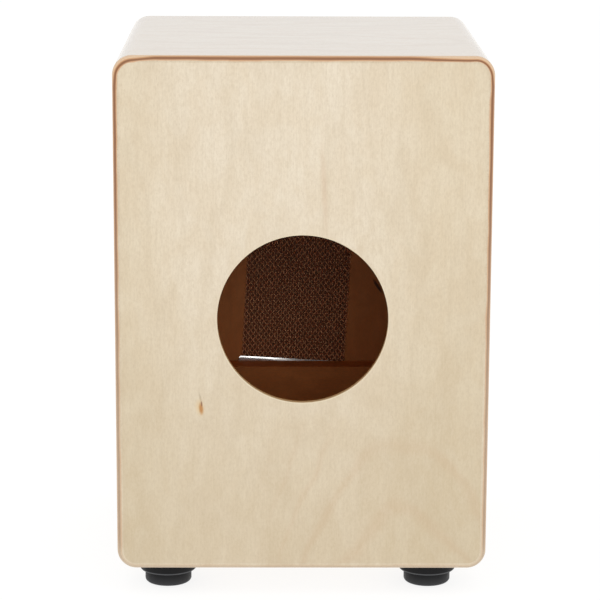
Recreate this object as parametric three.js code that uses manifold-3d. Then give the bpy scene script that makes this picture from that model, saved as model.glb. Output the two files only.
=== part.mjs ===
// A compact cajon: a plywood box with a sound hole in its back panel, a thin playing plate in front,
// a carpet of snare wires behind the plate and four rubber feet.
// Millimetres, +Z up. The origin is on the floor under the middle of the box. -Y is the playing side, +Y the
// sound-hole side. Left (-X) and right (+X) are as seen by someone facing the playing plate.
import * as THREE from 'three';
import { mergeVertices } from 'three/addons/utils/BufferGeometryUtils.js';
import Module from 'manifold-3d';

const wasm = await Module();
wasm.setup();

// Box
const BOX_WIDTH = 290;
const BOX_DEPTH = 290;
const BOX_HEIGHT = 405;
const CORNER_RADIUS = 15; // the four long corners, seen from the back
const WALL = 9; // top, bottom and sides
const BACK_THICKNESS = 6;
const BACK_EDGE_RADIUS = 5;
const PLATE_THICKNESS = 3;
const PLATE_EDGE_RADIUS = 2.5;
const JOINT_GAP = 0.3; // left at each mitre for the glue, and round what sits in a hole

// Sound hole
const HOLE_RADIUS = 66;
const HOLE_HEIGHT = 201.5; // its centre above the underside of the box
const HOLE_EASING = 0.8; // the small round on its rims

// Battens behind the playing plate
const BATTEN = 15;

// Plate screws: countersunk, flush with the plate
const SCREW_HEAD_RADIUS = 3.5;
const SCREW_HEAD_DEPTH = 2.3;
const SCREW_RIM = 0.3; // the short straight edge of the head
const SCREW_SHANK_RADIUS = 1.5;
const SCREW_LENGTH = 16;
const SCREW_POINT = 2.5;
const RECESS_SPAN = 3.8; // of the cross recess, end to end
const RECESS_SLOT = 0.9;
const RECESS_DEPTH = 1.3;

// Snare
const PAIR_COUNT = 20; // one solid holds two neighbouring wires, so the carpet has 40
const WIRE_SPACING = 2.29;
const COIL_DIAMETER = 2.25;
const PAIR_CORNER = 1; // the round on the outline of a pair
const WIRE_LENGTH = 190;
const SNARE_TILT = THREE.MathUtils.degToRad(-3.1); // the carpet leans towards -X at its top
const SNARE_X = 4.9; // where the middle of the carpet meets the top of the end plate
const SNARE_HEIGHT = 101.6; // of that point, above the underside of the box
const END_PLATE_WIDTH = 96;
const END_PLATE_HEIGHT = 15;
const END_PLATE_THICKNESS = 1;
const END_PLATE_CORNER = 2;
const WIRE_OVERLAP = 5; // how far the wires reach down over the end plate
const SNARE_SCREW_DROP = 10; // of the screws, below the top of the end plate
const SNARE_SCREW_SPACING = 40;
const SNARE_SCREW_COUNT = 3;
const SNARE_HEAD_RADIUS = 3;
const SNARE_HEAD_HEIGHT = 1.8;
const SNARE_SHANK_RADIUS = 1.3;
const SNARE_SCREW_LENGTH = 12;

// Crossbar
const BAR_DEPTH = 22;
const BAR_HEIGHT = 45;
const BAR_TOP = 100; // above the underside of the box

// Feet
const FOOT_HEIGHT = 22;
const FOOT_LEFT_X = -101; // the feet stand a little off centre
const FOOT_RIGHT_X = 106.5;
const FOOT_Y = 105;
const FLANGE_RADIUS = 22.5;
const FLANGE_HEIGHT = 11.5;
const BOSS_RADIUS = 18.5;
const FOOT_EDGE = 1.5; // the round on the foot's edges
const FOOT_WELL_RADIUS = 8;
const FOOT_WELL_DEPTH = 12;
const FOOT_BORE_RADIUS = 2.5;
const WASHER_RADIUS = 7;
const WASHER_THICKNESS = 1.2;
const FOOT_HEAD_RADIUS = 4;
const FOOT_HEAD_HEIGHT = 2.8;
const FOOT_SHANK_RADIUS = 2;
const FOOT_SCREW_BITE = 7.5; // how far the screw reaches into the bottom panel

// How finely round shapes are divided. A path's arc gets twice its divisions as chords.
const CORNER_DIVISIONS = 4;
const SMALL_ARC_DIVISIONS = 2;
const EDGE_STEPS = 4;
const HOLE_STEPS = 64;
const FOOT_STEPS = 28;
const WASHER_STEPS = 20;
const SCREW_STEPS = 16;
const THROUGH = 1; // how far a cutter runs past the face that it cuts through

// Levels and planes that follow from the sizes
const BASE = FOOT_HEIGHT;
const TOP = BASE + BOX_HEIGHT;
const HALF_WIDTH = BOX_WIDTH / 2;
const HALF_HEIGHT = BOX_HEIGHT / 2;
const MIDDLE = BASE + HALF_HEIGHT;
const FRONT = -BOX_DEPTH / 2;
const BACK = BOX_DEPTH / 2;
const PLATE_INNER = FRONT + PLATE_THICKNESS;
const PANEL_INNER = BACK - BACK_THICKNESS;
const SCREW_INSET = WALL + BATTEN / 2;
const WIRE_Y = PLATE_INNER + JOINT_GAP + COIL_DIAMETER / 2;
const END_PLATE_Y = WIRE_Y + COIL_DIAMETER / 2 + JOINT_GAP;
const BAR_Y = END_PLATE_Y + END_PLATE_THICKNESS + JOINT_GAP;

const birchFace = { color: 0xe8dab9, roughness: 0.5, metalness: 0 };
const birchShell = { color: 0xe3d3bd, roughness: 0.42, metalness: 0 };
const plateWood = { color: 0xc98a58, roughness: 0.5, metalness: 0 };
const battenWood = { color: 0xb9794a, roughness: 0.7, metalness: 0 };
const blackRubber = { color: 0x1f1f21, roughness: 0.75, metalness: 0 };
const brightSteel = { color: 0xd8d8d6, roughness: 0.25, metalness: 1 };
const wireSteel = { color: 0xa8a39c, roughness: 0.35, metalness: 1 };
const zincSteel = { color: 0xb4b4b2, roughness: 0.4, metalness: 1 };

// ---------- solids ----------

function toSolid(geometry) {
  const plain = geometry.index ? geometry.toNonIndexed() : geometry.clone();
  plain.deleteAttribute('normal');
  plain.deleteAttribute('uv');
  const merged = mergeVertices(plain, 1e-4);
  const index = merged.index.array;
  const kept = [];
  for (let i = 0; i < index.length; i += 3) {
    const [a, b, c] = [index[i], index[i + 1], index[i + 2]];
    if (a !== b && b !== c && c !== a) kept.push(a, b, c);
  }
  return new wasm.Manifold(new wasm.Mesh({
    numProp: 3,
    vertProperties: merged.attributes.position.array,
    triVerts: new Uint32Array(kept),
  }));
}

function toGeometry(solid) {
  const mesh = solid.getMesh();
  const geometry = new THREE.BufferGeometry();
  geometry.setAttribute('position', new THREE.BufferAttribute(mesh.vertProperties, 3));
  geometry.setIndex(new THREE.BufferAttribute(mesh.triVerts, 1));
  geometry.computeVertexNormals();
  return geometry;
}

function cut(geometry, tools) {
  let solid = toSolid(geometry);
  for (const tool of tools) solid = solid.subtract(toSolid(tool));
  return toGeometry(solid);
}

function named(name, geometry, finish) {
  const mesh = new THREE.Mesh(geometry, new THREE.MeshStandardMaterial(finish));
  mesh.name = name;
  return mesh;
}

// ---------- shapes ----------

// Turns a shape drawn in X and Z and extruded towards +Z so that it stands up and runs towards -Y.
function standUp(geometry) {
  return geometry.rotateX(Math.PI / 2);
}

function roundedRectangle(width, height, radius) {
  const x = width / 2;
  const y = height / 2;
  const shape = new THREE.Shape();
  shape.moveTo(x, y - radius);
  shape.absarc(x - radius, y - radius, radius, 0, Math.PI / 2, false);
  shape.absarc(radius - x, y - radius, radius, Math.PI / 2, Math.PI, false);
  shape.absarc(radius - x, radius - y, radius, Math.PI, 1.5 * Math.PI, false);
  shape.absarc(x - radius, radius - y, radius, 1.5 * Math.PI, 2 * Math.PI, false);
  return shape;
}

// A board with the outline of the box, whose outer edge is rounded on one face only. It is extruded with
// both edges rounded and then cut in two. The rounded face is at z = thickness, the flat one at z = 0.
function roundedBoard(thickness, edgeRadius) {
  const geometry = new THREE.ExtrudeGeometry(roundedRectangle(BOX_WIDTH, BOX_HEIGHT, CORNER_RADIUS), {
    depth: 2 * (thickness - edgeRadius),
    bevelEnabled: true,
    bevelThickness: edgeRadius,
    bevelSize: edgeRadius,
    bevelOffset: -edgeRadius,
    bevelSegments: EDGE_STEPS,
    curveSegments: CORNER_DIVISIONS,
  });
  geometry.translate(0, 0, edgeRadius - thickness);
  const waste = new THREE.BoxGeometry(2 * BOX_WIDTH, 2 * BOX_HEIGHT, 2 * thickness);
  waste.translate(0, 0, -thickness);
  return cut(geometry, [waste]);
}

// The section of one wall: its outer face is at y = 0 and its ends are mitred at 45 degrees, each with its
// half of the rounded corner.
function wallSection(halfLength) {
  const step = JOINT_GAP / Math.SQRT2; // sideways step that leaves half the gap square to the mitre
  const end = halfLength - WALL - step;
  const centre = halfLength - CORNER_RADIUS;
  const start = Math.acos(-step / (CORNER_RADIUS * Math.SQRT2)) - Math.PI / 4;
  const shape = new THREE.Shape();
  shape.moveTo(-end, -WALL);
  shape.lineTo(end, -WALL);
  shape.absarc(centre, -CORNER_RADIUS, CORNER_RADIUS, start, Math.PI / 2, false);
  shape.absarc(-centre, -CORNER_RADIUS, CORNER_RADIUS, Math.PI / 2, Math.PI - start, false);
  return shape;
}

function wall(halfLength) {
  return standUp(new THREE.ExtrudeGeometry(wallSection(halfLength), {
    depth: PANEL_INNER - PLATE_INNER,
    bevelEnabled: false,
    curveSegments: CORNER_DIVISIONS,
  }));
}

// A solid of revolution about Z. The profile is a path or a list of [radius, height] pairs. It goes up the
// outside, and starts and ends on the axis or closes on itself.
function turned(profile, steps) {
  const points = Array.isArray(profile)
    ? profile.map(([radius, height]) => new THREE.Vector2(radius, height))
    : profile.getPoints(SMALL_ARC_DIVISIONS);
  return new THREE.LatheGeometry(points, steps).rotateX(Math.PI / 2);
}

function cylinder(radius, bottom, top, steps) {
  return turned([[0, bottom], [radius, bottom], [radius, top], [0, top]], steps);
}

// Two crossed slots cut down into a screw head whose top is at the given height.
function crossRecess(top) {
  return [[RECESS_SPAN, RECESS_SLOT], [RECESS_SLOT, RECESS_SPAN]].map(([x, y]) => {
    const slot = new THREE.BoxGeometry(x, y, 2 * RECESS_DEPTH);
    return slot.translate(0, 0, top);
  });
}

// ---------- the box ----------

function makeShell() {
  const shell = new THREE.Group();
  const top = named('top_panel', wall(HALF_WIDTH), birchShell);
  top.position.set(0, PANEL_INNER, TOP);
  const left = named('left_side_panel', wall(HALF_HEIGHT), birchShell);
  left.position.set(-HALF_WIDTH, PANEL_INNER, MIDDLE);
  left.rotation.y = -Math.PI / 2;
  const right = named('right_side_panel', wall(HALF_HEIGHT), birchShell);
  right.position.set(HALF_WIDTH, PANEL_INNER, MIDDLE);
  right.rotation.y = Math.PI / 2;
  shell.add(top, left, right, makeBottom());
  return shell;
}

function makeBottom() {
  const panel = wall(HALF_WIDTH).rotateY(Math.PI).translate(0, PANEL_INNER, BASE);
  const pilots = footPlaces().map(({ x, y }) => {
    const radius = FOOT_SHANK_RADIUS + JOINT_GAP;
    const pilot = cylinder(radius, -THROUGH, FOOT_SCREW_BITE + JOINT_GAP, SCREW_STEPS);
    return pilot.translate(x, y, BASE);
  });
  return named('bottom_panel', cut(panel, pilots), birchShell);
}

// The sound hole as a cutter, with a small round at each rim, for a board that lies on z = 0.
function holeCutter() {
  const rim = HOLE_RADIUS + HOLE_EASING;
  const high = BACK_THICKNESS;
  const profile = new THREE.Path();
  profile.moveTo(0, -THROUGH);
  profile.lineTo(rim, -THROUGH);
  profile.lineTo(rim, 0);
  profile.absarc(rim, HOLE_EASING, HOLE_EASING, -Math.PI / 2, -Math.PI, true);
  profile.lineTo(HOLE_RADIUS, high - HOLE_EASING);
  profile.absarc(rim, high - HOLE_EASING, HOLE_EASING, Math.PI, Math.PI / 2, true);
  profile.lineTo(rim, high + THROUGH);
  profile.lineTo(0, high + THROUGH);
  return turned(profile, HOLE_STEPS);
}

function makeBackPanel() {
  const board = roundedBoard(BACK_THICKNESS, BACK_EDGE_RADIUS);
  const hole = holeCutter().translate(0, HALF_HEIGHT - HOLE_HEIGHT, 0);
  const panel = cut(board, [hole]).rotateX(-Math.PI / 2);
  return named('back_panel', panel.translate(0, PANEL_INNER, MIDDLE), birchFace);
}

// Where the plate's screws go: the corners, the middles of the top and bottom, and three along each side.
function plateScrewPlaces() {
  const x = HALF_WIDTH - SCREW_INSET;
  const low = BASE + SCREW_INSET;
  const high = TOP - SCREW_INSET;
  const places = [{ x: 0, z: low }, { x: 0, z: high }];
  for (let i = 0; i <= 4; i++) {
    const z = low + (i / 4) * (high - low);
    places.push({ x: -x, z }, { x, z });
  }
  return places;
}

// A countersunk screw that points down from z = 0. Slack makes it larger all over, for the hole round it.
function plateScrewShape(slack) {
  return turned([
    [0, -SCREW_LENGTH - slack],
    [SCREW_SHANK_RADIUS + slack, SCREW_POINT - SCREW_LENGTH - slack],
    [SCREW_SHANK_RADIUS + slack, -SCREW_HEAD_DEPTH - slack],
    [SCREW_HEAD_RADIUS + slack, -SCREW_RIM - slack],
    [SCREW_HEAD_RADIUS + slack, slack],
    [0, slack],
  ], SCREW_STEPS);
}

// Turns a piece made along Z so that its +Z end points to -Y, at a place on the playing plate's face.
function facingFront(geometry, { x, z }) {
  return geometry.rotateX(Math.PI / 2).translate(x, FRONT, z);
}

function plateScrewHoles() {
  return plateScrewPlaces().map((place) => facingFront(plateScrewShape(JOINT_GAP), place));
}

function makePlate() {
  const board = standUp(roundedBoard(PLATE_THICKNESS, PLATE_EDGE_RADIUS)).translate(0, PLATE_INNER, MIDDLE);
  return named('front_plate', cut(board, plateScrewHoles()), plateWood);
}

function makePlateScrews() {
  const group = new THREE.Group();
  plateScrewPlaces().forEach((place, i) => {
    const screw = facingFront(cut(plateScrewShape(0), crossRecess(0)), place);
    group.add(named('plate_screw_' + String(i + 1).padStart(2, '0'), screw, zincSteel));
  });
  return group;
}

function makeBattens() {
  const group = new THREE.Group();
  const height = BOX_HEIGHT - 2 * WALL;
  const width = BOX_WIDTH - 2 * WALL - 2 * BATTEN;
  const x = HALF_WIDTH - SCREW_INSET;
  const z = HALF_HEIGHT - SCREW_INSET;
  const pilots = plateScrewHoles();
  const battens = [
    ['front_batten_left', BATTEN, height, -x, 0],
    ['front_batten_right', BATTEN, height, x, 0],
    ['front_batten_top', width, BATTEN, 0, z],
    ['front_batten_bottom', width, BATTEN, 0, -z],
  ];
  for (const [name, across, up, atX, atZ] of battens) {
    const box = new THREE.BoxGeometry(across, BATTEN, up);
    box.translate(atX, PLATE_INNER + BATTEN / 2, MIDDLE + atZ);
    group.add(named(name, cut(box, pilots), battenWood));
  }
  return group;
}

// ---------- the snare ----------

// The frame that the snare is built in: X across the wires, Z up along them, with its origin at the top
// middle of the end plate's front face.
function snareFrame() {
  const frame = new THREE.Group();
  frame.position.set(SNARE_X, END_PLATE_Y, BASE + SNARE_HEIGHT);
  frame.rotation.y = SNARE_TILT;
  frame.updateMatrix();
  return frame;
}

function snareScrewOffsets() {
  const middle = (SNARE_SCREW_COUNT - 1) / 2;
  return Array.from({ length: SNARE_SCREW_COUNT }, (_, i) => (i - middle) * SNARE_SCREW_SPACING);
}

function makeEndPlate() {
  const shape = roundedRectangle(END_PLATE_WIDTH, END_PLATE_HEIGHT, END_PLATE_CORNER);
  const holeHeight = END_PLATE_HEIGHT / 2 - SNARE_SCREW_DROP;
  for (const x of snareScrewOffsets()) {
    const hole = new THREE.Path();
    hole.absarc(x, holeHeight, SNARE_SHANK_RADIUS + JOINT_GAP, 0, 2 * Math.PI, true);
    shape.holes.push(hole);
  }
  const strip = new THREE.ExtrudeGeometry(shape, {
    depth: END_PLATE_THICKNESS,
    bevelEnabled: false,
    curveSegments: CORNER_DIVISIONS,
  });
  const mesh = named('snare_end_plate', standUp(strip), brightSteel);
  mesh.position.set(0, END_PLATE_THICKNESS, -END_PLATE_HEIGHT / 2);
  return mesh;
}

// Two neighbouring coils as one solid, with the outline that holds both.
function makeWirePairs() {
  const group = new THREE.Group();
  const spacing = 2 * WIRE_SPACING;
  const first = -((PAIR_COUNT - 1) / 2) * spacing;
  const outline = roundedRectangle(spacing - JOINT_GAP, COIL_DIAMETER, PAIR_CORNER);
  for (let i = 0; i < PAIR_COUNT; i++) {
    const pair = new THREE.ExtrudeGeometry(outline, {
      depth: WIRE_LENGTH,
      bevelEnabled: false,
      curveSegments: SMALL_ARC_DIVISIONS,
    });
    const mesh = named('snare_wire_pair_' + String(i + 1).padStart(2, '0'), pair, wireSteel);
    mesh.position.set(first + i * spacing, WIRE_Y - END_PLATE_Y, -WIRE_OVERLAP);
    group.add(mesh);
  }
  return group;
}

function snareScrewShape() {
  return turned([
    [0, -SNARE_SCREW_LENGTH],
    [SNARE_SHANK_RADIUS, -SNARE_SCREW_LENGTH + SCREW_POINT],
    [SNARE_SHANK_RADIUS, 0],
    [SNARE_HEAD_RADIUS, 0],
    [SNARE_HEAD_RADIUS, SNARE_HEAD_HEIGHT / 2],
    [SNARE_HEAD_RADIUS - SNARE_HEAD_HEIGHT / 2, SNARE_HEAD_HEIGHT],
    [0, SNARE_HEAD_HEIGHT],
  ], SCREW_STEPS);
}

function makeSnareScrews() {
  const group = new THREE.Group();
  snareScrewOffsets().forEach((x, i) => {
    const screw = cut(snareScrewShape(), crossRecess(SNARE_HEAD_HEIGHT));
    const mesh = named('snare_screw_' + (i + 1), screw.rotateX(Math.PI / 2), zincSteel);
    mesh.position.set(x, -JOINT_GAP, -SNARE_SCREW_DROP);
    group.add(mesh);
  });
  return group;
}

function makeSnare() {
  const frame = snareFrame();
  frame.add(makeEndPlate(), makeWirePairs(), makeSnareScrews());
  return frame;
}

function makeCrossbar() {
  const length = BOX_WIDTH - 2 * WALL - 2 * BATTEN;
  const bar = new THREE.BoxGeometry(length, BAR_DEPTH, BAR_HEIGHT);
  bar.translate(0, BAR_Y + BAR_DEPTH / 2, BASE + BAR_TOP - BAR_HEIGHT / 2);
  const frame = snareFrame();
  const pilots = snareScrewOffsets().map((x) => {
    const depth = SNARE_SCREW_LENGTH + THROUGH;
    const pilot = cylinder(SNARE_SHANK_RADIUS + JOINT_GAP, -depth, THROUGH, SCREW_STEPS);
    return pilot.rotateX(Math.PI / 2).translate(x, 0, -SNARE_SCREW_DROP).applyMatrix4(frame.matrix);
  });
  return named('snare_crossbar', cut(bar, pilots), battenWood);
}

// ---------- the feet ----------

function footPlaces() {
  return [
    { side: 'front_left', x: FOOT_LEFT_X, y: -FOOT_Y },
    { side: 'front_right', x: FOOT_RIGHT_X, y: -FOOT_Y },
    { side: 'rear_left', x: FOOT_LEFT_X, y: FOOT_Y },
    { side: 'rear_right', x: FOOT_RIGHT_X, y: FOOT_Y },
  ];
}

// A closed profile that goes up the outside and down the bore, with its edges rounded.
function footProfile() {
  const shelf = FOOT_HEIGHT - FLANGE_HEIGHT;
  const profile = new THREE.Path();
  profile.moveTo(FOOT_WELL_RADIUS, 0);
  profile.lineTo(BOSS_RADIUS - FOOT_EDGE, 0);
  profile.absarc(BOSS_RADIUS - FOOT_EDGE, FOOT_EDGE, FOOT_EDGE, -Math.PI / 2, 0, false);
  profile.lineTo(BOSS_RADIUS, shelf);
  profile.lineTo(FLANGE_RADIUS - FOOT_EDGE, shelf);
  profile.absarc(FLANGE_RADIUS - FOOT_EDGE, shelf + FOOT_EDGE, FOOT_EDGE, -Math.PI / 2, 0, false);
  profile.lineTo(FLANGE_RADIUS, FOOT_HEIGHT);
  profile.lineTo(FOOT_BORE_RADIUS, FOOT_HEIGHT);
  profile.lineTo(FOOT_BORE_RADIUS, FOOT_WELL_DEPTH);
  profile.lineTo(FOOT_WELL_RADIUS, FOOT_WELL_DEPTH);
  profile.lineTo(FOOT_WELL_RADIUS, 0);
  return profile;
}

function makeWasher() {
  const low = FOOT_WELL_DEPTH - WASHER_THICKNESS;
  const inner = FOOT_SHANK_RADIUS + JOINT_GAP;
  return turned([
    [inner, low],
    [WASHER_RADIUS, low],
    [WASHER_RADIUS, FOOT_WELL_DEPTH],
    [inner, FOOT_WELL_DEPTH],
    [inner, low],
  ], WASHER_STEPS);
}

function makeFootScrew() {
  const seat = FOOT_WELL_DEPTH - WASHER_THICKNESS;
  const low = seat - FOOT_HEAD_HEIGHT;
  const tip = FOOT_HEIGHT + FOOT_SCREW_BITE;
  const screw = turned([
    [0, low],
    [FOOT_HEAD_RADIUS - FOOT_HEAD_HEIGHT / 2, low],
    [FOOT_HEAD_RADIUS, low + FOOT_HEAD_HEIGHT / 2],
    [FOOT_HEAD_RADIUS, seat],
    [FOOT_SHANK_RADIUS, seat],
    [FOOT_SHANK_RADIUS, tip - SCREW_POINT],
    [0, tip],
  ], SCREW_STEPS);
  return cut(screw, crossRecess(low));
}

function makeFeet() {
  const group = new THREE.Group();
  for (const { side, x, y } of footPlaces()) {
    const set = [
      named('foot_' + side, turned(footProfile(), FOOT_STEPS), blackRubber),
      named('foot_washer_' + side, makeWasher(), zincSteel),
      named('foot_screw_' + side, makeFootScrew(), zincSteel),
    ];
    for (const mesh of set) {
      mesh.position.set(x, y, 0);
      group.add(mesh);
    }
  }
  return group;
}

const cajon = new THREE.Group();
cajon.add(makeShell(), makeBackPanel(), makeFeet());
cajon.add(makePlate(), makePlateScrews(), makeBattens());
cajon.add(makeSnare(), makeCrossbar());

export default cajon;
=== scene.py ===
"""The looks of a cajon seen from its sound-hole side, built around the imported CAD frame. Metres."""

import math

import bmesh
import bpy
from mathutils import Matrix, Vector


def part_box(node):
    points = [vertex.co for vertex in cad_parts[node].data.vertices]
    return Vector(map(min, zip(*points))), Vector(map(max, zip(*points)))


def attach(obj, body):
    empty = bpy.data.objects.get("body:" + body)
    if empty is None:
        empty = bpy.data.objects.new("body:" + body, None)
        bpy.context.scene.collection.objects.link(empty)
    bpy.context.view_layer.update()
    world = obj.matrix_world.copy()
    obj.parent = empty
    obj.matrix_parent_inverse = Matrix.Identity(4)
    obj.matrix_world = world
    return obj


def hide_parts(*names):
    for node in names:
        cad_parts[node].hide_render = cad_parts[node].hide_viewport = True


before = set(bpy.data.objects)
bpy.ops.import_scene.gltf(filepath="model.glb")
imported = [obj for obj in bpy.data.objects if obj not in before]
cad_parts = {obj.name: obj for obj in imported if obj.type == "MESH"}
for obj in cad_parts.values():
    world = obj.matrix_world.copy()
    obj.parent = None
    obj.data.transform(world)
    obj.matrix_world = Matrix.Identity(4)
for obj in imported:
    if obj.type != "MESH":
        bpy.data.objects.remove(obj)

MM = 0.001
QUARTER = math.pi / 2  # of a turn
BODY = "root"

# ---------- the light and the floor ----------

SKY_STRENGTH = 0.9
FLOOR_GLOW = 0.86  # most of the floor's light comes from below, as on a light table
FLOOR_RADIUS = 30
FLOOR_SIDES = 96
FLOOR_DROP = 0.5 * MM  # below the feet

OVERHEAD_PLACE = (0.0, 0.9, 1.6)
OVERHEAD_AIM = (0, 0.15, 0.35)
OVERHEAD_SIZE = (1.5, 0.9)
OVERHEAD_WATTS = 3
OVERHEAD_COLOUR = (0.9, 0.97, 1.0)
SOFTBOX_PLACE = (-0.3, 2.3, 0.82)
SOFTBOX_AIM = (0, 0, 0.22)
SOFTBOX_SIZE = (1.0, 0.7)
SOFTBOX_WATTS = 4.4
SOFTBOX_COLOUR = (1.0, 0.99, 0.97)

# ---------- the camera ----------

CAMERA_PLACE = (0.0235, 2.0547, 0.6576)
CAMERA_PITCH = math.radians(12.36)  # downwards
CAMERA_YAW = math.radians(-0.64)  # from straight towards -Y
CAMERA_ROLL = math.radians(0.24)
CAMERA_LENS = 152.5
CAMERA_SENSOR = 36

# ---------- sizes that a node's box doesn't tell ----------

CORNER_RADIUS = 15 * MM
WALL = 9 * MM
MITRE_GAP = 0.02 * MM  # almost closed, because glue fills the mitres
BACK_EDGE_RADIUS = 5 * MM
PLATE_EDGE_RADIUS = 2.5 * MM
HOLE_RADIUS = 66 * MM
HOLE_EASING = 0.8 * MM
HOLE_HEIGHT = 201.5 * MM  # its centre above the underside of the box
STRIP_EASING = 0.6 * MM  # the edges of the battens and the crossbar
DRILL_GAP = 0.3 * MM

SCREW_HEAD_RADIUS = 3.5 * MM
SCREW_HEAD_DEPTH = 2.3 * MM
SCREW_RIM = 0.3 * MM
SCREW_SHANK_RADIUS = 1.5 * MM
SCREW_LENGTH = 16 * MM
SCREW_POINT = 2.5 * MM
SCREW_TIP = 0.1  # the radius at a screw's point, as a share of its shank's
PAN_CROWN = 0.6  # the round on a pan head, as a share of its height
RECESS_SPAN = 3.8 * MM
RECESS_SLOT = 0.9 * MM
RECESS_DEPTH = 1.3 * MM
RECESS_TAPER = 0.6  # its size at the bottom, as a share of that at the top

PAIR_COUNT = 20  # each CAD solid stands for two neighbouring wires
WIRE_SPACING = 2.29 * MM
COIL_DIAMETER = 2.25 * MM
WIRE_DIAMETER = 0.9 * MM
WIRE_LENGTH = 190 * MM
WIRE_OVERLAP = 5 * MM  # how far the wires reach down over the end plate
COIL_PITCH = 5.8 * MM
COIL_RAMP = 3 * MM  # over which the straight end turns into the coil
STRAIGHT_END = 0.8  # how long the straight end is, as a share of the ramp
SNARE_TILT = math.radians(-3.1)  # the wires lean towards -X at their top
SNARE_X = 4.9 * MM  # where the middle of the wires meets the top of the end plate
SNARE_HEIGHT = 101.6 * MM  # of that point, above the underside of the box
END_PLATE_WIDTH = 96 * MM
END_PLATE_HEIGHT = 15 * MM
END_PLATE_CORNER = 2 * MM
END_PLATE_EASING = 0.12 * MM
END_PLATE_LIP = 2.6 * MM  # the upper part of its rear face, which leans away from the crossbar
END_PLATE_LIP_DEPTH = 0.7 * MM
END_PLATE_DULLING = (30 * MM, -12 * MM, 0.0, 0.55)  # two places along X, and the roughness added at each
SNARE_SCREW_DROP = 10 * MM  # of the screws, below the top of the end plate
SNARE_SCREW_SPACING = 40 * MM
SNARE_SCREW_COUNT = 3
SNARE_HEAD_RADIUS = 3 * MM
SNARE_HEAD_HEIGHT = 1.8 * MM
SNARE_SHANK_RADIUS = 1.3 * MM
SNARE_SCREW_LENGTH = 12 * MM

FOOT_HEIGHT = 22 * MM
FLANGE_RADIUS = 22.5 * MM
FLANGE_HEIGHT = 11.5 * MM
BOSS_RADIUS = 18.5 * MM
FOOT_EDGE = 1.5 * MM
BOSS_EDGE = 3 * MM  # the round on the lower edge of the foot
FOOT_WELL_RADIUS = 8 * MM
FOOT_WELL_DEPTH = 12 * MM
FOOT_BORE_RADIUS = 2.5 * MM
WASHER_EASING = 0.25 * MM
FOOT_HEAD_RADIUS = 4 * MM
FOOT_HEAD_HEIGHT = 2.8 * MM
FOOT_SHANK_RADIUS = 2 * MM
FOOT_SIDES = ("front_left", "front_right", "rear_left", "rear_right")

# ---------- how finely shapes are divided ----------

CORNER_STEPS = 14
SIDE_STEPS = 44
EDGE_STEPS = 8
EASING_STEPS = 4
FACE_RINGS = 6
FOOT_STEPS = 72
SCREW_STEPS = 40
COIL_STEPS = 18
WIRE_SIDES = 6
SHARP_ANGLE = math.radians(28)
FLAT_ANGLE = math.radians(3)  # faces this close to a board's face count as part of it
FACE_RING_CROWDING = 1.5  # above 1, the rings of the rear face crowd towards its outer edge
HUB_RADIUS = 0.05 * MM  # of the flat fans at the ends of turned shapes
THROUGH = MM  # how far a cutter runs past the face that it cuts

# ---------- the wood's grain: sizes across it and along it ----------

FIBRES = (0.75 * MM, 13 * MM)
STREAKS = (4 * MM, 90 * MM)
MOTTLE = (17 * MM, 32 * MM)
PORES = (0.4 * MM, 4 * MM)
FLECKS = (1.3 * MM, 2.6 * MM)
FIGURE = (80 * MM, 240 * MM)
FIGURE_BANDS = 15.0  # from the figure's least to its greatest height

# ---------- marks in the wood: middle (x, z), half width and half height, lean ----------

STREAK = (-16 * MM, 326 * MM), (3.4 * MM, 46 * MM), math.radians(-3)
KNOT_TAIL = (79 * MM, 160.5 * MM), (1.2 * MM, 7 * MM), math.radians(-11)
KNOT_WARMTH = (79.5 * MM, 153.5 * MM), (5 * MM, 9 * MM), math.radians(-6)
KNOT = (78.6 * MM, 152.6 * MM), (2.2 * MM, 6 * MM), math.radians(-6)
KNOT_PITH = (78.2 * MM, 156.4 * MM), (0.8 * MM, 2.6 * MM), math.radians(-6)
PLATE_MARK = (-69.5 * MM, 189 * MM), (1.6 * MM, 9 * MM), math.radians(-33)
MARK_DEPTH = 40 * MM  # half of it, far more than a board's thickness
SHEEN_BAND_X = 22 * MM  # the middle of the rear face's painted sheen, a paler upright band
SHEEN_BAND_CORE = 50 * MM  # from its middle to where it starts to fade
SHEEN_BAND_REACH = 130 * MM  # from its middle to where it has faded
CORNER_PLY_INSET = 4 * MM  # of the middles of the patches where the dark ply comes closest to the face
LEFT_CORNER_PLY = (30 * MM, 60 * MM, 24 * MM)  # half the patch's size, left as seen from behind
RIGHT_CORNER_PLY = (62 * MM, 60 * MM, 24 * MM)
PLY_THICKNESS = 1.3 * MM
ARCH_PEAK = (-80 * MM, 124 * MM)  # x and z of the top of the nested arches
ARCH_BEND = 17.0  # how fast they fall away from it: their drop over the square of the distance
ARCH_SPACING = 30 * MM
ARCH_WANDER = 50 * MM

# ---------- places that follow from the frame ----------

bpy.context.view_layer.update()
panel_low, panel_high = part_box("back_panel")
plate_low, plate_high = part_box("front_plate")
BOX_WIDTH = panel_high.x - panel_low.x
BOX_HEIGHT = panel_high.z - panel_low.z
UNDERSIDE = panel_low.z
MIDDLE = (panel_low.z + panel_high.z) / 2
BACK = panel_high.y
PANEL_INNER = panel_low.y
PLATE_INNER = plate_high.y
FRONT = plate_low.y
END_PLATE_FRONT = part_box("snare_end_plate")[0].y
END_PLATE_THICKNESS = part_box("snare_end_plate")[1].y - END_PLATE_FRONT


# ---------- meshes ----------


def new_object(name, vertices, faces):
    mesh = bpy.data.meshes.new(name)
    mesh.from_pydata([tuple(v) for v in vertices], [], faces)
    made = bmesh.new()
    made.from_mesh(mesh)
    bmesh.ops.recalc_face_normals(made, faces=made.faces)
    made.to_mesh(mesh)
    made.free()
    obj = bpy.data.objects.new(name, mesh)
    bpy.context.scene.collection.objects.link(obj)
    return obj


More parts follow.
